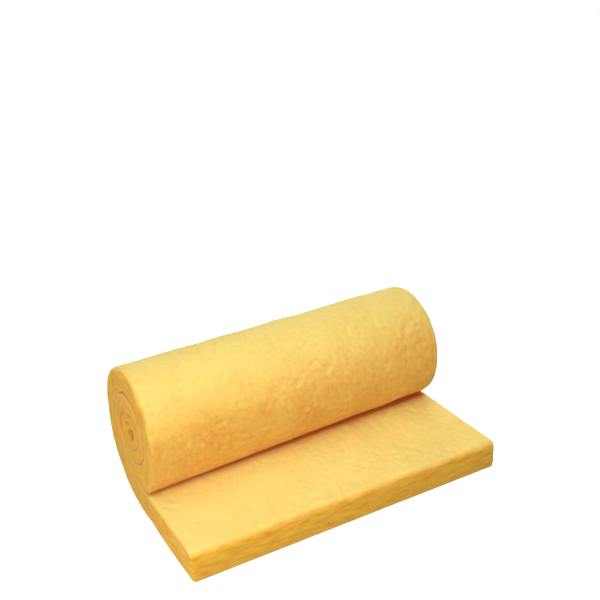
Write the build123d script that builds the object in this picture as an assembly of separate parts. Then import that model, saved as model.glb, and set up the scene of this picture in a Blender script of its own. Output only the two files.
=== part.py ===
"""A glass wool insulation mat, partly unrolled: most of it is still wound in a roll, and its
free end lies flat on the floor as a leaf in front of the roll.

The roll is one solid with the open eye through its middle. It is an upright oval that has sunk
on to the leaf, so its front runs in to a crease well ahead of its highest line. Its turns show
on both ends, as a groove that starts at the crease and winds in to the eye.

Frame: +X along the roll's axis (the mat's width), the leaf runs towards -Y, +Z up.
Origin: on the floor, in the middle of the whole mat's plan outline. Millimetres.
"""
from build123d import *
import os

# Driving sizes
MAT_WIDTH = 1200.0          # the width that such mats are made in, and the roll's length
MAT_THICKNESS = 110.0       # a 100 mm mat after it has recovered its loft
ROLL_HEIGHT = 534.0         # from the floor to the roll's highest line
BACK_REACH = 245.0          # how far the roll's rearmost line lies behind its highest line
FRONT_REACH = 200.0         # how far its foremost line lies in front of the highest line
FOREMOST_HEIGHT = 322.0     # height of the foremost line above the floor
CREASE_REACH = 115.0        # how far the crease at the leaf lies in front of the highest line
LEAF_SHORT_SIDE = 466.0     # the same for the leaf's hand-cut end, at -X
LEAF_LONG_SIDE = 528.0      # the same at +X: the cut runs a little askew
TIGHTENING = 0.82           # each half turn is this much thinner than the one outside it
CRUSHED_THICKNESS = 22.0    # but never thinner than this, the mat pressed flat at the eye
SMALLEST_EYE = 30.0         # the winding stops before the eye in the middle gets smaller
TURN_GAP = 3.0              # width of the groove between one turn and the next
GROOVE_DEPTH = 16.0         # how far that groove goes into each end of the roll
END_ROUNDING = 12.0         # the soft edges all around the roll's ends and the leaf's sides
CUT_EDGE_ROUNDING = 24.0    # the softer upper edge along the leaf's hand-cut end
LARGEST_ROUNDED_SHARE = 0.3  # no edge is rounded by more than this share of the mat's thickness


def half_turn_stations():
    """Heights where the mat's outer face crosses the plane straight down from the highest line.

    They alternate between the bottom and the top of the roll, and close in on the eye.
    """
    pitch = MAT_THICKNESS + TURN_GAP
    bottom, top = 0.0, ROLL_HEIGHT
    stations = [bottom, top]
    while top - bottom - pitch > SMALLEST_EYE:
        if len(stations) % 2 == 0:
            bottom += pitch
            stations.append(bottom)
        else:
            top -= pitch
            stations.append(top)
        pitch = max(pitch * TIGHTENING, CRUSHED_THICKNESS + TURN_GAP)
    return stations


def inner_face_heights(stations):
    """Heights of the mat's inner face, where the next turn's outer face is at the stations."""
    heights = []
    for index, height in enumerate(stations):
        at_bottom = index % 2 == 0
        heights.append(height - TURN_GAP if at_bottom else height + TURN_GAP)
    return heights


def half_turn(heights, index, axis_y):
    """Half an oval from one height to the next: behind the axis if even, in front if odd."""
    start, end = heights[index], heights[index + 1]
    half_height = abs(end - start) / 2
    center = (axis_y, (start + end) / 2)
    if index % 2 == 0:
        depth = half_height * BACK_REACH / (ROLL_HEIGHT / 2)
        return EllipticalCenterArc(center, depth, half_height, start_angle=-90, arc_size=180)
    height_over_leaf = ROLL_HEIGHT - MAT_THICKNESS - TURN_GAP
    depth = half_height * FRONT_REACH / (height_over_leaf / 2)
    return EllipticalCenterArc(center, depth, half_height, start_angle=90, arc_size=180)


def front_of_roll(axis_y):
    """From the highest line round to the foremost one, and on down to the crease."""
    center = (axis_y, FOREMOST_HEIGHT)
    foremost = (axis_y - FRONT_REACH, FOREMOST_HEIGHT)
    crease = (axis_y - CREASE_REACH, MAT_THICKNESS + TURN_GAP)
    height_above = ROLL_HEIGHT - FOREMOST_HEIGHT
    brow = EllipticalCenterArc(center, FRONT_REACH, height_above, start_angle=90, arc_size=90)
    return [brow, TangentArc(foremost, crease, tangent=(0, -1))]


def side_outline(axis_y, leaf_end_y):
    """Roll and leaf seen along the roll's axis, with the crease where they part."""
    stations = half_turn_stations()
    crease_y = axis_y - CREASE_REACH
    edges = [
        Line((leaf_end_y, 0), (axis_y, 0)),
        half_turn(stations, 0, axis_y),
        *front_of_roll(axis_y),
        Line((crease_y, stations[2]), (crease_y, MAT_THICKNESS)),
        Line((crease_y, MAT_THICKNESS), (leaf_end_y, MAT_THICKNESS)),
        Line((leaf_end_y, MAT_THICKNESS), (leaf_end_y, 0)),
    ]
    return Plane.YZ * make_face(Wire(edges))


def turn_groove_outline(axis_y):
    """The gap between the turns: level in from the crease, then wound to the mat's inner end."""
    stations = half_turn_stations()
    inner = inner_face_heights(stations)
    inner_end = len(stations) - 3
    crease_y = axis_y - CREASE_REACH
    edges = [
        Line((axis_y, inner[2]), (crease_y, inner[2])),
        Line((crease_y, inner[2]), (crease_y, stations[2])),
        Line((crease_y, stations[2]), (axis_y, stations[2])),
    ]
    for index in range(2, inner_end):
        edges.append(half_turn(stations, index, axis_y))
    edges.append(Line((axis_y, stations[inner_end]), (axis_y, inner[inner_end])))
    for index in range(inner_end - 1, 1, -1):
        edges.append(half_turn(inner, index, axis_y))
    return Plane.YZ * make_face(Wire(edges))


def eye_outline(axis_y):
    """The open eye: the inner face of the last two half turns, and the mat's blunt inner end."""
    stations = half_turn_stations()
    inner = inner_face_heights(stations)
    inner_end = len(stations) - 3
    edges = [
        half_turn(inner, inner_end, axis_y),
        half_turn(inner, inner_end + 1, axis_y),
        Line((axis_y, inner[inner_end + 2]), (axis_y, inner[inner_end])),
    ]
    return Plane.YZ * make_face(Wire(edges))


def cut_leaf_end(mat, axis_y):
    """Cuts the leaf's end square to the floor, along the slightly skewed hand cut."""
    left = Vector(-MAT_WIDTH / 2, axis_y - LEAF_SHORT_SIDE, 0)
    right = Vector(MAT_WIDTH / 2, axis_y - LEAF_LONG_SIDE, 0)
    along = (right - left).normalized()
    cut = Plane(origin=left, x_dir=along, z_dir=along.cross(Vector(0, 0, 1)))
    return split(mat, bisect_by=cut, keep=Keep.BOTTOM)


def soften_edges(mat):
    """Rounds the leaf's upper cut edge, and then the edges around the two ends.

    Each end's shortest edge, at the back of the crease, stays sharp: its groove starts there.
    """
    largest = LARGEST_ROUNDED_SHARE * MAT_THICKNESS
    cut_end = mat.faces().sort_by(Axis.Y)[0]
    upper_edge = cut_end.edges().sort_by(Axis.Z)[-1]
    mat = fillet(upper_edge, min(CUT_EDGE_ROUNDING, largest))
    ends = mat.faces().filter_by(Axis.X).sort_by(Axis.X)
    left_edges = ends[0].edges().sort_by(SortBy.LENGTH)
    right_edges = ends[-1].edges().sort_by(SortBy.LENGTH)
    return fillet(left_edges[1:] + right_edges[1:], min(END_ROUNDING, largest))


def glass_wool_mat():
    longest_leaf = max(LEAF_SHORT_SIDE, LEAF_LONG_SIDE)
    axis_y = (longest_leaf - BACK_REACH) / 2
    outline = side_outline(axis_y, axis_y - longest_leaf)
    mat = extrude(outline, amount=MAT_WIDTH / 2, both=True)
    mat = soften_edges(cut_leaf_end(mat, axis_y))
    eye = eye_outline(axis_y)
    mat -= extrude(eye, amount=MAT_WIDTH / 2 - GROOVE_DEPTH, both=True)
    for end in (-1, 1):
        hollows = Pos(end * MAT_WIDTH / 2, 0, 0) * (turn_groove_outline(axis_y) + eye)
        mat -= extrude(hollows, amount=-end * GROOVE_DEPTH)
    return mat


os.makedirs("parts", exist_ok=True)
mat = glass_wool_mat()
mat.label = "glass_wool_mat"
export_step(mat, "parts/glass_wool_mat.step")
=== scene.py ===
from math import cos, pi, radians, sin

import bmesh
import bpy
import numpy as np
from mathutils import Matrix, Vector, noise

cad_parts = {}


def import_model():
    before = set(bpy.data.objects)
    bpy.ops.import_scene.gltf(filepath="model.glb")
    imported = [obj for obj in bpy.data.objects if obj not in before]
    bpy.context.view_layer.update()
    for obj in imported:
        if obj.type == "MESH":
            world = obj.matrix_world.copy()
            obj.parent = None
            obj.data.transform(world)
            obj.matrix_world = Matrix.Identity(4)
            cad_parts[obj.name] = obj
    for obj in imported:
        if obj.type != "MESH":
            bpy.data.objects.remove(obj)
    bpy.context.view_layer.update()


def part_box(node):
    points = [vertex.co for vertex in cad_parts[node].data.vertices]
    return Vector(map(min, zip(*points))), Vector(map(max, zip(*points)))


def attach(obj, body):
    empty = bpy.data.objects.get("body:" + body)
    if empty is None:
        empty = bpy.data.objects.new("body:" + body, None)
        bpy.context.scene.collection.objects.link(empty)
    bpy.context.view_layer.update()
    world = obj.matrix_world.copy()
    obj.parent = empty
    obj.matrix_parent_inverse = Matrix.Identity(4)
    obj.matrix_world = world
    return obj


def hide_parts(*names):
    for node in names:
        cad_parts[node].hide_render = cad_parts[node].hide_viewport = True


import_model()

# The mat's sizes in metres, the same as those of the solid that it replaces
MAT_THICKNESS = 0.110
BACK_REACH = 0.245
FRONT_REACH = 0.200
FOREMOST_HEIGHT = 0.322
CREASE_REACH = 0.115
LEAF_SHORT_SIDE = 0.466
LEAF_LONG_SIDE = 0.528
MEAN_LEAF = (LEAF_SHORT_SIDE + LEAF_LONG_SIDE) / 2
TIGHTENING = 0.82
CRUSHED_THICKNESS = 0.022
SMALLEST_EYE = 0.030
TURN_GAP = 0.003
node_low, node_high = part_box("glass_wool_mat")
MAT_WIDTH = node_high.x - node_low.x
ROLL_HEIGHT = node_high.z - node_low.z
AXIS_Y = node_high.y - BACK_REACH

# How the soft roll differs at its two ends, as (at -X, at +X)
ROLL_HEIGHTS = (ROLL_HEIGHT - 0.003, ROLL_HEIGHT + 0.003)
FOREMOST_HEIGHTS = (FOREMOST_HEIGHT + 0.024, FOREMOST_HEIGHT - 0.024)
CREASE_REACHES = (CREASE_REACH + 0.003, CREASE_REACH - 0.016)

# The crease stands open by this much on top of the turn gap, and closes over this way in
MOUTH_HEIGHT = 0.006
MOUTH_DEPTH = 0.018

# How far the mat's side edges stray outwards at each end, in metres. The turns are counted from
# where the mat leaves the floor, and -1 is the leaf's cut end
STRAY_TURNS = (-1.0, 0.0, 0.25, 0.5, 0.75, 1.0, 2.0)
STRAY_AT_ENDS = ((0.0, -0.001, -0.004, -0.004, -0.002, 0.002, 0.0),
                 (0.0, 0.0, -0.001, -0.001, -0.001, -0.001, 0.0))
UPPER_SIDE_STRAY = (0.004, 0.008)     # the leaf's upper edges also spread towards the roll
UPPER_SIDE_TURNS = (-1.0, 0.0, 0.25, 0.5)
UPPER_SIDE_SHARES = (0.0, 1.0, 0.5, 0.0)

# How finely the mat's surface is divided
SKIN_SPACING = 0.0082
HALF_TURN_ROWS = 110
BROW_ROWS = 52                # of the first front half turn: down to the roll's foremost line
CHEEK_ROWS = 40               # and on to the crease, and the rest lie back over the leaf
LEAF_ROW_SPACING = 0.0085
ROWS_AT_THE_CUT = (0.0, 0.002, 0.006, 0.012)              # distances from the leaf's cut end
FIRST_EVEN_ROW = 0.020                                    # the same, and even rows from there on
COLUMNS_AT_AN_EDGE = (0.0, 0.010, 0.035, 0.08, 0.14)      # shares of the mat's thickness
MIDDLE_COLUMNS = 9
TUNNEL_STEPS = 10

# The wool's soft edges
ROLL_END_ROUNDING = 0.016
LEAF_SIDE_ROUNDING = 0.009
ROUNDING_CHANGE_ROWS = 40     # the way over which the one runs into the other
SEAM_ROUNDING = 0.004         # between one turn and the next
THIN_TURN_ROUNDING = 0.22     # share of a thin inner turn's thickness
LEAF_SEAM_RUN_IN = 0.014      # the leaf's upper edge becomes a seam over this way to the crease
ROLL_SEAM_RUN_IN_ROWS = 6     # and so does the roll's edge
UPPER_CUT_ROUNDING = 0.021
LOWER_CUT_ROUNDING = 0.005
CUT_BULGE = 0.002
GROOVE_DEPTH = 0.016
GROOVE_RUN_IN = 0.060

# Where the wool's colour changes, and where shade is painted into it
# painted shade in the seams fades out over this distance from them
PAINTED_SEAM_SHADE_WIDTH = 0.010
FLAT_END_PAINTED_SHADE_SHARE = 0.30    # how much of the painted seam shade shows beside a groove
CUT_LOOK_RUN_IN = 0.016       # the look of a cut face comes in over this way from its edges


def smooth_step(value):
    """0 below 0, 1 above 1, and a soft curve between."""
    share = np.clip(value, 0.0, 1.0)
    return share * share * (3 - 2 * share)


def station_heights(roll_height):
    """Heights where the outer face crosses the plane down from the highest line, outside in."""
    pitch = MAT_THICKNESS + TURN_GAP
    bottom, top = 0.0, roll_height
    heights = [bottom, top]
    while top - bottom - pitch > SMALLEST_EYE:
        if len(heights) % 2 == 0:
            bottom += pitch
            heights.append(bottom)
        else:
            top -= pitch
            heights.append(top)
        pitch = max(pitch * TIGHTENING, CRUSHED_THICKNESS + TURN_GAP)
    return heights


def half_oval(heights, index, shares):
    """Points (y, z) on the half oval between two heights: behind the axis if index is even."""
    start, end = heights[index], heights[index + 1]
    middle = (start + end) / 2
    reach = (end - start) / 2
    if index % 2 == 0:
        depth = abs(reach) * BACK_REACH / (ROLL_HEIGHT / 2)
    else:
        depth = -abs(reach) * FRONT_REACH / ((ROLL_HEIGHT - MAT_THICKNESS - TURN_GAP) / 2)
    across = AXIS_Y + depth * np.sin(shares * pi)
    return np.column_stack([across, middle - reach * np.cos(shares * pi)])


def front_of_roll(end):
    """Points (y, z) from the highest line round the roll's front to the crease, and back in from
    there over the leaf."""
    top, foremost, crease = ROLL_HEIGHTS[end], FOREMOST_HEIGHTS[end], CREASE_REACHES[end]
    rows = np.arange(1, HALF_TURN_ROWS + 1)
    inward = FRONT_REACH - crease
    drop = foremost - MAT_THICKNESS - TURN_GAP - MOUTH_HEIGHT
    radius = (inward ** 2 + drop ** 2) / (2 * inward)
    brow = np.clip(rows / BROW_ROWS, 0, 1) * pi / 2
    cheek = np.clip((rows - BROW_ROWS) / CHEEK_ROWS, 0, 1) * np.arctan2(drop, radius - inward)
    over_leaf_rows = HALF_TURN_ROWS - BROW_ROWS - CHEEK_ROWS
    way_in = crease * np.clip((rows - BROW_ROWS - CHEEK_ROWS) / over_leaf_rows, 0, 1)
    closing = MOUTH_HEIGHT * smooth_step(way_in / MOUTH_DEPTH)
    y = AXIS_Y - FRONT_REACH * np.sin(brow) + radius * (1 - np.cos(cheek)) + way_in
    z = foremost + (top - foremost) * np.cos(brow) - radius * np.sin(cheek) - closing
    return np.column_stack([y, z])


class Section:
    """The mat seen along the roll's axis, in rows from the leaf's cut end in to the eye.

    Depth runs through the mat: 0 is the outer face, which is the leaf's underside, and 1 is the
    inner face, which is the leaf's upper side. Each face is kept for both ends of the roll.
    """

    def __init__(self):
        last_even_row = MEAN_LEAF - LEAF_ROW_SPACING / 2
        even_rows = np.arange(FIRST_EVEN_ROW, last_even_row, LEAF_ROW_SPACING)
        leaf_share = np.concatenate([ROWS_AT_THE_CUT, even_rows, [MEAN_LEAF]]) / MEAN_LEAF
        self.axis_row = len(leaf_share) - 1
        self.half_turns = len(station_heights(ROLL_HEIGHT)) - 3
        self.outer, self.inner = zip(*[self.wound_faces(end) for end in (0, 1)])
        self.last_row = len(self.outer[0]) - 1
        self.leaf_share = np.concatenate([leaf_share, np.ones(self.last_row - self.axis_row)])
        mean_outer, mean_inner = sum(self.outer) / 2, sum(self.inner) / 2
        self.thickness = np.linalg.norm(mean_outer - mean_inner, axis=1)
        steps = np.linalg.norm(np.diff((mean_outer + mean_inner) / 2, axis=0), axis=1)
        self.wound_length = np.concatenate([[0.0], np.cumsum(steps)])
        self.crease_row = self.axis_row + HALF_TURN_ROWS + BROW_ROWS + CHEEK_ROWS
        rows = np.arange(self.last_row + 1)
        turns = np.where(rows < self.axis_row, self.leaf_share - 1,
                         (rows - self.axis_row) / (2 * HALF_TURN_ROWS))
        self.stray = [np.interp(turns, STRAY_TURNS, shifts) for shifts in STRAY_AT_ENDS]
        self.upper_side_stray = np.interp(turns, UPPER_SIDE_TURNS, UPPER_SIDE_SHARES)

    def wound_faces(self, end):
        """The mat's outer and inner face (y, z) at one end of the roll. All the leaf's rows are
        over the axis here, and place() spreads them out."""
        heights = station_heights(ROLL_HEIGHTS[end])
        inner = [z - TURN_GAP if i % 2 == 0 else z + TURN_GAP for i, z in enumerate(heights)]
        shares = np.arange(1, HALF_TURN_ROWS + 1) / HALF_TURN_ROWS
        under_axis = np.tile([AXIS_Y, 0.0], (self.axis_row + 1, 1))
        over_leaf = np.tile([AXIS_Y, MAT_THICKNESS], (self.axis_row + 1, 1))
        outer_turns = [half_oval(heights, i, shares) for i in range(self.half_turns)]
        outer_turns[1] = front_of_roll(end)
        inner_turns = [half_oval(inner, i + 2, shares) for i in range(self.half_turns)]
        return np.concatenate([under_axis, *outer_turns]), np.concatenate([over_leaf, *inner_turns])

    def half_turn_row(self, index):
        """The row where that half turn starts, or where the one before it ends."""
        return self.axis_row + index * HALF_TURN_ROWS

    def leaf_length(self, x):
        """The leaf's length there: its cut end runs a little askew across the mat."""
        share = x / MAT_WIDTH + 0.5
        return LEAF_SHORT_SIDE + (LEAF_LONG_SIDE - LEAF_SHORT_SIDE) * share

    def cut_setback(self, depth):
        """How far the cut face lies behind the leaf's foremost line, for its soft edges."""
        from_top = (1 - depth) * MAT_THICKNESS
        from_bottom = depth * MAT_THICKNESS
        upper = np.clip(1 - from_top / UPPER_CUT_ROUNDING, 0, 1)
        lower = np.clip(1 - from_bottom / LOWER_CUT_ROUNDING, 0, 1)
        setback = UPPER_CUT_ROUNDING * (1 - np.sqrt(1 - upper ** 2))
        setback += LOWER_CUT_ROUNDING * (1 - np.sqrt(1 - lower ** 2))
        return setback + CUT_BULGE * (1 - 4 * depth * (1 - depth))

    def place(self, rows, depth, x):
        """Points (x, y, z) of the mat."""
        cut_y = AXIS_Y - self.leaf_length(x) + self.cut_setback(depth)
        leaf_y = cut_y + (AXIS_Y - cut_y) * self.leaf_share[rows]
        share = (x / MAT_WIDTH + 0.5)[:, None]
        outer = self.outer[0][rows] * (1 - share) + self.outer[1][rows] * share
        inner = self.inner[0][rows] * (1 - share) + self.inner[1][rows] * share
        wound = outer * (1 - depth)[:, None] + inner * depth[:, None]
        on_leaf = rows < self.axis_row
        y = np.where(on_leaf, leaf_y, wound[:, 0])
        z = np.where(on_leaf, depth * MAT_THICKNESS, wound[:, 1])
        upper_side = self.upper_side_stray[rows] * depth
        left = self.stray[0][rows] + UPPER_SIDE_STRAY[0] * upper_side
        right = self.stray[1][rows] + UPPER_SIDE_STRAY[1] * upper_side
        return np.column_stack([x - left * (1 - share[:, 0]) + right * share[:, 0], y, z])

    def unrolled(self, rows, depth, x):
        """The same points on the mat laid out flat: along it, across it and through it."""
        on_leaf = -self.leaf_length(x) * (1 - self.leaf_share[rows])
        along = np.where(rows < self.axis_row, on_leaf, self.wound_length[rows])
        return np.column_stack([along, x, depth * MAT_THICKNESS])

    def openness(self, rows, depth):
        """1 where the mat's nearer face is open to the air, 0 where it presses on another turn."""
        to_crease = MEAN_LEAF - CREASE_REACH - self.from_cut(rows)
        inner_face = to_crease / LEAF_SEAM_RUN_IN
        outer_face = (self.crease_row - rows) / ROLL_SEAM_RUN_IN_ROWS
        return smooth_step(np.where(depth < 0.5, outer_face, inner_face))

    def from_cut(self, rows):
        """The distance to the leaf's cut end, for a leaf of mean length."""
        return self.leaf_share[rows] * MEAN_LEAF

    def from_face(self, rows, depth):
        """The distance to the mat's nearer face."""
        return np.minimum(depth, 1 - depth) * self.thickness[rows]

    def end_inset(self, rows, depth):
        """How far a point of the mat's end lies inside its flat plane, for the soft edges."""
        past_leaf = smooth_step((rows - self.axis_row) / ROUNDING_CHANGE_ROWS + 0.5)
        open_edge = LEAF_SIDE_ROUNDING + (ROLL_END_ROUNDING - LEAF_SIDE_ROUNDING) * past_leaf
        edge = SEAM_ROUNDING + (open_edge - SEAM_ROUNDING) * self.openness(rows, depth)
        width = np.minimum(edge, THIN_TURN_ROUNDING * self.thickness[rows])
        near_face = np.clip(1 - self.from_face(rows, depth) / width, 0, 1)
        near_cut = np.clip(1 - self.from_cut(rows) / LEAF_SIDE_ROUNDING, 0, 1)
        nearness = np.minimum(np.hypot(near_face, near_cut), 1)
        return width * (1 - np.sqrt(1 - nearness ** 2))

    def painted_seam_shade_share(self, rows, depth):
        """Painted shade: 1 in the seams between the turns, the crease among them, falling to 0 a
        little way off them.
        """
        closeness = 1 - smooth_step(self.from_face(rows, depth) / PAINTED_SEAM_SHADE_WIDTH)
        return closeness * (1 - self.openness(rows, depth))


class MatBuilder:
    """Collects the mat's points and faces. A point lies midway between two spots of the section,
    which are mostly the same one."""

    def __init__(self, section):
        self.section = section
        edge = np.array(COLUMNS_AT_AN_EDGE)
        middle = np.linspace(edge[-1], 1 - edge[-1], MIDDLE_COLUMNS + 1)[1:-1]
        self.columns = np.concatenate([edge, middle, 1 - edge[::-1]])
        self.inner_column = len(self.columns) - 1
        self.spots = []
        self.faces = []
        self.count = 0

    def add_points(self, rows, depth, x, other_rows=None, other_depth=None):
        """Adds points and gives back their numbers."""
        other_rows = rows if other_rows is None else other_rows
        other_depth = depth if other_depth is None else other_depth
        self.spots.append(np.column_stack([rows, depth, other_rows, other_depth, x]))
        numbers = np.arange(self.count, self.count + len(rows))
        self.count += len(rows)
        return numbers

    def add_quads(self, first, second):
        """Joins two lines of points, taken in step, by a row of quads."""
        for a, b, c, d in zip(first[:-1], first[1:], second[1:], second[:-1]):
            self.faces.append((int(a), int(b), int(c), int(d)))

    def add_end(self, side):
        """One end of the mat: the wound strip's cut edge, from the leaf in to the eye."""
        rows = np.arange(self.section.last_row + 1)
        grid = []
        for depth in self.columns:
            depths = np.full(len(rows), depth)
            x = side * (MAT_WIDTH / 2 - self.section.end_inset(rows, depths))
            grid.append(self.add_points(rows, depths, x))
        for first, second in zip(grid[:-1], grid[1:]):
            self.add_quads(first, second)
        return np.array(grid)

    def add_groove(self, side, grid):
        """The groove between the turns on one end, from the crease in to the eye."""
        section = self.section
        steps = (section.half_turns - 2) * HALF_TURN_ROWS
        inner_face = section.axis_row + np.arange(steps + 1)
        outer_face = section.half_turn_row(2) + np.arange(steps + 1)
        inset = section.end_inset(inner_face, np.ones(steps + 1))
        length = section.wound_length[outer_face]
        from_crease = length - length[0]
        from_eye = length[-1] - length
        run_in = smooth_step(np.minimum(from_crease, from_eye) / GROOVE_RUN_IN)
        x = side * (MAT_WIDTH / 2 - inset - GROOVE_DEPTH * run_in)
        ones, zeros = np.ones(steps + 1), np.zeros(steps + 1)
        floor = self.add_points(inner_face, ones, x, outer_face, zeros)
        self.add_quads(grid[self.inner_column][inner_face], floor)
        self.add_quads(floor, grid[0][outer_face])
        return floor

    def add_skin(self, rims, steps):
        """A closed loop of spots, swept from one end's rim to the other's."""
        start, end = rims
        table = np.concatenate(self.spots)
        rows, depth, other_rows, other_depth, start_x = table[start].T
        end_x = table[end, -1]
        before = start
        for step in range(1, steps):
            share = step / steps
            x = start_x * (1 - share) + end_x * share
            line = self.add_points(rows, depth, x, other_rows, other_depth)
            self.add_quads(np.append(before, before[0]), np.append(line, line[0]))
            before = line
        self.add_quads(np.append(before, before[0]), np.append(end, end[0]))

    def skin_rim(self, grid, floor):
        """The mat's outside as seen from one end: underside, roll, crease, leaf and cut end."""
        section = self.section
        outside = grid[0][: section.half_turn_row(2) + 1]
        leaf_top = grid[self.inner_column][: section.axis_row + 1][::-1]
        cut_end = grid[1:-1, 0][::-1]
        return np.concatenate([outside, floor[:1], leaf_top, cut_end])

    def eye_rim(self, grid, floor):
        """The eye as seen from one end: the inner face, the mat's blunt end and the slit."""
        section = self.section
        inside = grid[self.inner_column][section.half_turn_row(section.half_turns - 2):]
        blunt_end = grid[:-1, section.last_row][::-1]
        return np.concatenate([inside, blunt_end, floor[-1:]])

    def places(self):
        """Each point's place, its place on the flat mat, and how much shade is painted on it in a
        seam.
        """
        rows, depth, other_rows, other_depth, x = np.concatenate(self.spots).T
        first = rows.astype(int), depth
        second = other_rows.astype(int), other_depth
        place = (self.section.place(*first, x) + self.section.place(*second, x)) / 2
        flat = (self.section.unrolled(*first, x) + self.section.unrolled(*second, x)) / 2
        return place, flat, self.section.painted_seam_shade_share(*first)


def wool_noise(places, lump, octaves, shift):
    """Smooth random values of about -1 to 1, where lump is the size of one lump in metres. The
    shift keeps one noise apart from another."""
    scaled = places / lump + shift
    return np.array([noise.fractal(Vector(p), 1.0, 2.0, octaves) for p in scaled])


def vertex_normals(mesh):
    normals = np.zeros(len(mesh.vertices) * 3)
    mesh.vertices.foreach_get("normal", normals)
    return normals.reshape(-1, 3)


# How rough the wool is: how far each kind of lump moves it and how wide one is, in metres
SWELL, SWELL_SIZE = 0.0024, 0.19
LUMPS, LUMP_SIZE = 0.0018, 0.060
TUFTS, TUFT_SIZE = 0.0012, 0.019
DIMPLES, DIMPLE_SIZE = 0.0040, 0.024
CUT_STREAKS, STREAK_SIZE = 0.0022, 0.012
TURN_STAGGER, STAGGER_SIZE = 0.006, 0.30

# The dimples lie in patches. A larger edge value is a sharper edge, and a larger share is more wool
PATCH_SIZE = 0.14
PATCH_EDGE, PATCH_SHARE = 1.6, 0.35
DIMPLE_EDGE, DIMPLE_SHARE = 3.0, -0.35

# Along, across and through the flat mat: a smaller number draws the lumps out that way
STREAK_SCALE = np.array([0.16, 0.16, 1.0])
STAGGER_SCALE = np.array([1.0, 0.3, 2.0])

STAGGERED_WIDTH = 0.055       # within this distance of the ends the turns stray sideways
STAGGER_RUN_IN = 0.040        # and over this much of it they come to stray in full
CRUSH_HEIGHT = 0.030          # near the floor and in the crease the wool is pressed smooth
FACING_DOWN = -0.3            # a face whose normal points lower than this can touch the floor
AXIS_SLACK = 0.001            # so that points right under the highest line count as under the roll


def room_to_move(place, normals):
    """0 where the wool is pressed on the floor or between leaf and roll, 1 where it is free."""
    above_floor = smooth_step(place[:, 2] / CRUSH_HEIGHT)
    freedom = np.where(normals[:, 2] < FACING_DOWN, above_floor, 1.0)
    crease_y = AXIS_Y - np.interp(place[:, 0], (-MAT_WIDTH / 2, MAT_WIDTH / 2), CREASE_REACHES)
    above_leaf = place[:, 2] - MAT_THICKNESS
    under_roll = (place[:, 1] > crease_y) & (place[:, 1] < AXIS_Y + AXIS_SLACK)
    pressed = under_roll & (np.abs(above_leaf - TURN_GAP / 2) < TURN_GAP)
    from_crease = np.hypot(place[:, 1] - crease_y, above_leaf)
    return np.where(pressed, 0.0, freedom * smooth_step(from_crease / CRUSH_HEIGHT))


def roughen(mesh, place, flat, cut):
    """Moves the mat's points as loose wool does."""
    normals = vertex_normals(mesh)
    freedom = room_to_move(place, normals)
    swell = SWELL * wool_noise(place, SWELL_SIZE, octaves=2, shift=0.0)
    lumps = LUMPS * wool_noise(place, LUMP_SIZE, octaves=3, shift=7.3)
    tufts = TUFTS * wool_noise(place, TUFT_SIZE, octaves=2, shift=3.1)
    patch_noise = wool_noise(place, PATCH_SIZE, octaves=2, shift=11.7)
    dimple_noise = wool_noise(place, DIMPLE_SIZE, octaves=2, shift=5.9)
    patches = smooth_step(PATCH_EDGE * patch_noise + PATCH_SHARE)
    dimples = smooth_step(DIMPLE_EDGE * dimple_noise + DIMPLE_SHARE)
    face = swell + lumps + tufts - DIMPLES * patches * dimples
    streaks = CUT_STREAKS * wool_noise(flat * STREAK_SCALE, STREAK_SIZE, octaves=3, shift=1.7)
    stagger = TURN_STAGGER * wool_noise(flat * STAGGER_SCALE, STAGGER_SIZE, octaves=2, shift=9.1)
    moved = place + normals * (freedom * (face * (1 - cut) + (streaks + lumps) * cut))[:, None]
    into_end = np.abs(place[:, 0]) - MAT_WIDTH / 2 + STAGGERED_WIDTH
    moved[:, 0] += np.sign(place[:, 0]) * stagger * smooth_step(into_end / STAGGER_RUN_IN)
    moved[:, 2] = np.maximum(moved[:, 2], 0.0)
    mesh.vertices.foreach_set("co", moved.ravel())
    mesh.update()


def outward_mesh(name, places, faces):
    """A closed mesh whose faces all look outwards."""
    mesh = bpy.data.meshes.new(name)
    mesh.from_pydata(places.tolist(), [], faces)
    shell = bmesh.new()
    shell.from_mesh(mesh)
    bmesh.ops.recalc_face_normals(shell, faces=shell.faces)
    shell.to_mesh(mesh)
    shell.free()
    return mesh


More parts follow.
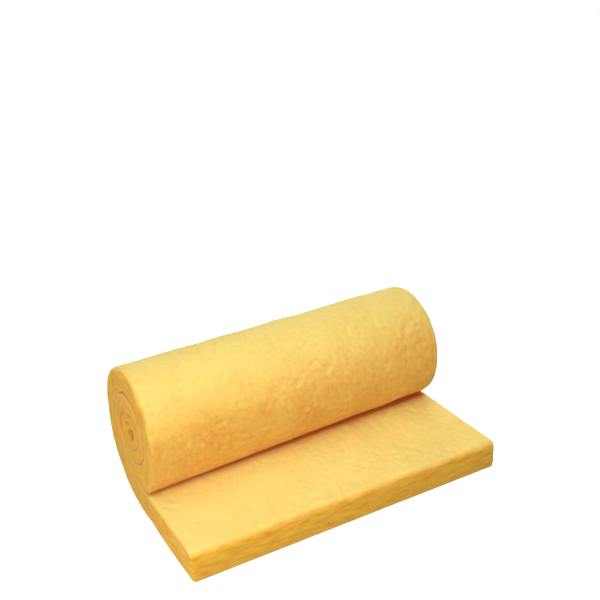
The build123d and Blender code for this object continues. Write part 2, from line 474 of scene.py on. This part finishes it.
def glass_wool_mat():
    """The whole mat as one closed mesh: outside, both ends with their grooves, and the eye."""
    section = Section()
    builder = MatBuilder(section)
    ends = [builder.add_end(side) for side in (-1, 1)]
    flat_end_points = builder.count
    floors = [builder.add_groove(side, grid) for side, grid in zip((-1, 1), ends)]
    pairs = list(zip(ends, floors))
    skin_rims = [builder.skin_rim(grid, floor) for grid, floor in pairs]
    eye_rims = [builder.eye_rim(grid, floor) for grid, floor in pairs]
    end_points = builder.count
    builder.add_skin(skin_rims, round(MAT_WIDTH / SKIN_SPACING))
    builder.add_skin(eye_rims, TUNNEL_STEPS)
    place, flat, painted_seam_shade = builder.places()
    mesh = outward_mesh("glass_wool_mat_wool", place, builder.faces)

    from_face = np.minimum(flat[:, 2], MAT_THICKNESS - flat[:, 2])
    on_end = np.arange(len(place)) < end_points
    cut_y = AXIS_Y - section.leaf_length(place[:, 0])
    on_cut = place[:, 1] < cut_y + UPPER_CUT_ROUNDING + CUT_BULGE
    cut = np.where(on_end | on_cut, smooth_step(from_face / CUT_LOOK_RUN_IN), 0.0)
    # the painted seam shade is weaker on the flat ends beside the grooves
    painted_seam_shade[:flat_end_points] *= FLAT_END_PAINTED_SHADE_SHARE
    roughen(mesh, place, flat, cut)
    # how much each point faces up, for the painted highlight that makes upward faces paler
    upper_side = smooth_step(vertex_normals(mesh)[:, 2])

    # The mesh carries the flat place, the cut faces, the painted seam shade, and how much each
    # point faces up for the painted highlight on the upper faces
    mesh.attributes.new("flat_place", "FLOAT_VECTOR", "POINT")
    mesh.attributes["flat_place"].data.foreach_set("vector", flat.ravel())
    for name, values in (("cut_face", cut), ("painted_seam_shade", painted_seam_shade), ("upper_side", upper_side)):
        mesh.attributes.new(name, "FLOAT", "POINT")
        mesh.attributes[name].data.foreach_set("value", values)
    mesh.shade_smooth()
    mat = bpy.data.objects.new("glass_wool_mat_wool", mesh)
    bpy.context.scene.collection.objects.link(mat)
    return mat


# Materials

def linear(hex_colour):
    """An sRGB hex colour as linear RGBA."""
    channels = [int(hex_colour[i:i + 2], 16) / 255 for i in (1, 3, 5)]
    return [c / 12.92 if c <= 0.04045 else ((c + 0.055) / 1.055) ** 2.4 for c in channels] + [1.0]


def add_node(tree, kind, settings, links=None):
    """Adds a node. A setting that names an input socket sets it, and any other a property."""
    node = tree.nodes.new(kind)
    for name, value in settings.items():
        if name in node.inputs:
            node.inputs[name].default_value = value
        else:
            setattr(node, name, value)
    for name, source in (links or {}).items():
        tree.links.new(source, node.inputs[name])
    return node


def add_ramp(tree, share, stops):
    """A colour ramp with its stops as (position, hex colour). Gives back its colour socket."""
    node = add_node(tree, "ShaderNodeValToRGB", {}, {"Fac": share})
    elements = node.color_ramp.elements
    while len(elements) < len(stops):
        elements.new(0.5)
    for element, (position, colour) in zip(elements, stops):
        element.position = position
        element.color = linear(colour)
    return node.outputs["Color"]


# A mix node's sockets: two numbers, or two colours and the mixed colour
NUMBER_A, NUMBER_B = 2, 3
COLOUR_A, COLOUR_B, MIXED_COLOUR = 6, 7, 2


def mix_colours(tree, share, first, second):
    """Mixes two colour sockets by a share of the second. Gives back the mixed colour's socket."""
    node = add_node(tree, "ShaderNodeMix", {"data_type": "RGBA"}, {"Factor": share})
    tree.links.new(first, node.inputs[COLOUR_A])
    tree.links.new(second, node.inputs[COLOUR_B])
    return node.outputs[MIXED_COLOUR]


def mesh_value(tree, name, kind="Fac"):
    """The socket of a value that the mat's mesh carries."""
    return add_node(tree, "ShaderNodeAttribute", {"attribute_name": name}).outputs[kind]


def new_material(name):
    material = bpy.data.materials.new(name)
    material.use_nodes = True
    material.node_tree.nodes.clear()
    return material, material.node_tree


# The wool's patterns. Their sizes are on the flat mat, in metres
BLOTCH_SIZE = 0.150
MOTTLE_SIZE = 0.017
MOTTLE_SHARE = 0.6            # of the pattern, and the blotches make up the rest
CUT_LAYER_SIZES = (0.060, 0.060, 0.011)       # along, across and through the mat
# how strongly the orange painted shade shows in the seams and the crease
PAINTED_SEAM_SHADE_STRENGTH = 0.75
FIBRE_SIZE = 0.004


def glass_wool():
    """Bound glass wool: matt, soft fibres that scatter light, so its hollows glow orange, with
    orange shade also painted into its seams and crease. It is mottled, its upward faces are painted
    paler as a painted highlight from the light above, and its cut faces show the layers as streaks."""
    material, tree = new_material("Bound glass wool")
    place = mesh_value(tree, "flat_place", "Vector")

    blotches = add_node(
        tree, "ShaderNodeTexNoise", {"Scale": 1 / BLOTCH_SIZE, "Detail": 2.0}, {"Vector": place})
    mottling = add_node(
        tree, "ShaderNodeTexNoise", {"Scale": 1 / MOTTLE_SIZE, "Detail": 4.0, "Roughness": 0.55},
        {"Vector": place})
    mixed = add_node(tree, "ShaderNodeMix", {"data_type": "FLOAT", "Factor": MOTTLE_SHARE})
    tree.links.new(blotches.outputs["Fac"], mixed.inputs[NUMBER_A])
    tree.links.new(mottling.outputs["Fac"], mixed.inputs[NUMBER_B])
    pattern = mixed.outputs[0]
    side_colour = add_ramp(
        tree, pattern, [(0.37, "#F3AF49"), (0.50, "#FCBF56"), (0.63, "#FFCB62")])
    # Painted highlight: faces that look up are mixed towards a paler colour, in place of the light
    # that falls on them from above
    painted_top_light_colour = add_ramp(
        tree, pattern, [(0.36, "#EDCD6F"), (0.50, "#F0D375"), (0.64, "#F3D87B")])
    face_colour = mix_colours(tree, mesh_value(tree, "upper_side"), side_colour, painted_top_light_colour)

    layer_scale = [1 / size for size in CUT_LAYER_SIZES]
    layers = add_node(
        tree, "ShaderNodeMapping", {"vector_type": "POINT", "Scale": layer_scale},
        {"Vector": place})
    streaks = add_node(
        tree, "ShaderNodeTexNoise", {"Scale": 1.0, "Detail": 3.0},
        {"Vector": layers.outputs["Vector"]})
    cut_colour = add_ramp(
        tree, streaks.outputs["Fac"], [(0.32, "#EDA42A"), (0.50, "#F9BA38"), (0.68, "#FFC846")])
    wool_colour = mix_colours(tree, mesh_value(tree, "cut_face"), face_colour, cut_colour)

    # Painted shade: the seams and the crease are mixed towards deep orange, in place of the shade
    # and glow that fall in them
    painted_shade_amount = add_node(tree, "ShaderNodeMath", {"operation": "MULTIPLY"})
    tree.links.new(mesh_value(tree, "painted_seam_shade"), painted_shade_amount.inputs[0])
    painted_shade_amount.inputs[1].default_value = PAINTED_SEAM_SHADE_STRENGTH
    colour = add_node(tree, "ShaderNodeMix", {"data_type": "RGBA"}, {"Factor": painted_shade_amount.outputs[0]})
    tree.links.new(wool_colour, colour.inputs[COLOUR_A])
    colour.inputs[COLOUR_B].default_value = linear("#FF8C1C")

    fibres = add_node(
        tree, "ShaderNodeTexNoise", {"Scale": 1 / FIBRE_SIZE, "Detail": 3.0, "Roughness": 0.7},
        {"Vector": place})
    bump = add_node(
        tree, "ShaderNodeBump", {"Strength": 0.5, "Distance": 0.002},
        {"Height": fibres.outputs["Fac"]})
    shader = add_node(
        tree, "ShaderNodeBsdfPrincipled",
        {"Roughness": 0.95, "Specular IOR Level": 0.15, "Subsurface Weight": 0.3,
         "Subsurface Radius": (0.020, 0.006, 0.002), "Subsurface Scale": 1.0,
         "Sheen Weight": 0.12, "Sheen Roughness": 0.5},
        {"Base Color": colour.outputs[MIXED_COLOUR], "Normal": bump.outputs["Normal"]})
    add_node(tree, "ShaderNodeOutputMaterial", {}, {"Surface": shader.outputs["BSDF"]})
    return material


FLOOR_GLOW = 0.54
FLOOR_HALF_WIDTH = 14.0
FLOOR_LEVEL = -0.0005         # just under the mat


def studio_floor():
    """A white studio floor, which the camera sees at full white outside the mat's shadow."""
    material, tree = new_material("White studio floor")
    rays = add_node(tree, "ShaderNodeLightPath", {})
    seen = add_node(tree, "ShaderNodeBsdfDiffuse", {"Color": linear("#FDFDFD")})
    glow = add_node(
        tree, "ShaderNodeEmission", {"Color": linear("#FFFFFF"), "Strength": FLOOR_GLOW})
    white = add_node(tree, "ShaderNodeAddShader", {})
    tree.links.new(seen.outputs[0], white.inputs[0])
    tree.links.new(glow.outputs[0], white.inputs[1])
    lit = add_node(tree, "ShaderNodeBsdfDiffuse", {"Color": linear("#C8C8C6")})
    both = add_node(tree, "ShaderNodeMixShader", {}, {"Fac": rays.outputs["Is Camera Ray"]})
    tree.links.new(lit.outputs[0], both.inputs[1])
    tree.links.new(white.outputs[0], both.inputs[2])
    add_node(tree, "ShaderNodeOutputMaterial", {}, {"Surface": both.outputs[0]})
    return material


# The studio

FRAME_WIDTH_PX = 600
FOCAL_LENGTH_PX = 795.5
SENSOR_WIDTH_MM = 36.0
CAMERA_AZIMUTH = radians(-30.76)
CAMERA_ELEVATION = radians(24.10)
CAMERA_ROLL = radians(-1.68)
CAMERA_DISTANCE = 2.9045
AIM_X = 0.0920
AIM_Z = 0.6184


def camera():
    """The photograph's view, from in front, to the left and above."""
    data = bpy.data.cameras.new("camera")
    data.sensor_width = SENSOR_WIDTH_MM
    data.lens = FOCAL_LENGTH_PX / FRAME_WIDTH_PX * SENSOR_WIDTH_MM
    item = bpy.data.objects.new("camera", data)
    bpy.context.scene.collection.objects.link(item)
    azimuth, elevation = CAMERA_AZIMUTH, CAMERA_ELEVATION
    back = Vector((sin(azimuth) * cos(elevation), -cos(azimuth) * cos(elevation), sin(elevation)))
    level = Vector((cos(azimuth), sin(azimuth), 0.0))
    upright = back.cross(level)
    right = cos(CAMERA_ROLL) * level + sin(CAMERA_ROLL) * upright
    up = back.cross(right)
    aim = Vector((AIM_X, AXIS_Y, AIM_Z))
    pose = Matrix((right, up, back)).transposed().to_4x4()
    pose.translation = aim + back * CAMERA_DISTANCE
    item.matrix_world = pose
    bpy.context.scene.camera = item


def floor():
    """One wide square of studio floor."""
    mesh = bpy.data.meshes.new("studio_floor")
    signs = ((-1, -1), (1, -1), (1, 1), (-1, 1))
    corners = [(x * FLOOR_HALF_WIDTH, y * FLOOR_HALF_WIDTH, FLOOR_LEVEL) for x, y in signs]
    mesh.from_pydata(corners, [], [(0, 1, 2, 3)])
    item = bpy.data.objects.new("studio_floor", mesh)
    mesh.materials.append(studio_floor())
    bpy.context.scene.collection.objects.link(item)


FAR_BOX_DIRECTION = (0.0, -0.02, 1.0)         # from the floor's middle towards the box
FAR_BOX_SPREAD = radians(50)
FAR_BOX_STRENGTH = 1.15
MAT_MIDDLE = (0.0, 0.0, 0.2)
# The soft boxes near the mat: name, place, width in metres and watts
NEAR_BOXES = (("high_soft_box", (-0.4, -1.0, 2.2), 0.8, 24.0),
              ("low_left_soft_box", (-2.0, -1.5, 0.8), 1.0, 17.5),
              ("end_soft_box", (-2.4, 0.2, 0.7), 1.0, 5.3),
              ("back_soft_box", (1.7, 2.2, 1.1), 1.2, 26.0))
WORLD_LIGHT = 0.13


def aim_light(name, data, place, target):
    """Puts a light in the scene, pointing at the target."""
    item = bpy.data.objects.new(name, data)
    item.location = place
    item.rotation_mode = "QUATERNION"
    item.rotation_quaternion = (Vector(target) - Vector(place)).to_track_quat("-Z", "Y")
    bpy.context.scene.collection.objects.link(item)


def far_soft_box():
    """Light from a wide, far soft box, even over the whole floor."""
    data = bpy.data.lights.new("far_soft_box", "SUN")
    data.angle = FAR_BOX_SPREAD
    data.energy = FAR_BOX_STRENGTH
    aim_light("far_soft_box", data, FAR_BOX_DIRECTION, (0.0, 0.0, 0.0))


def soft_box(name, place, width, watts):
    """A square lamp near the mat, whose light falls off across it."""
    data = bpy.data.lights.new(name, "AREA")
    data.shape = "SQUARE"
    data.size = width
    data.energy = watts
    aim_light(name, data, place, MAT_MIDDLE)


def world():
    """Even light from all around, seen by the camera as plain white."""
    item = bpy.data.worlds.new("studio_air")
    item.use_nodes = True
    tree = item.node_tree
    tree.nodes.clear()
    rays = add_node(tree, "ShaderNodeLightPath", {})
    strength = add_node(tree, "ShaderNodeMapRange", {"To Min": WORLD_LIGHT, "To Max": 1.0},
                        {"Value": rays.outputs["Is Camera Ray"]})
    air = add_node(tree, "ShaderNodeBackground", {"Color": linear("#FFFFFF")},
                   {"Strength": strength.outputs["Result"]})
    add_node(tree, "ShaderNodeOutputWorld", {}, {"Surface": air.outputs[0]})
    bpy.context.scene.world = item


camera()
floor()
world()
far_soft_box()
for near_box in NEAR_BOXES:
    soft_box(*near_box)

mat = glass_wool_mat()
mat.data.materials.append(glass_wool())
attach(mat, "root")
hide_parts("glass_wool_mat")

bpy.context.scene.view_settings.view_transform = "Standard"
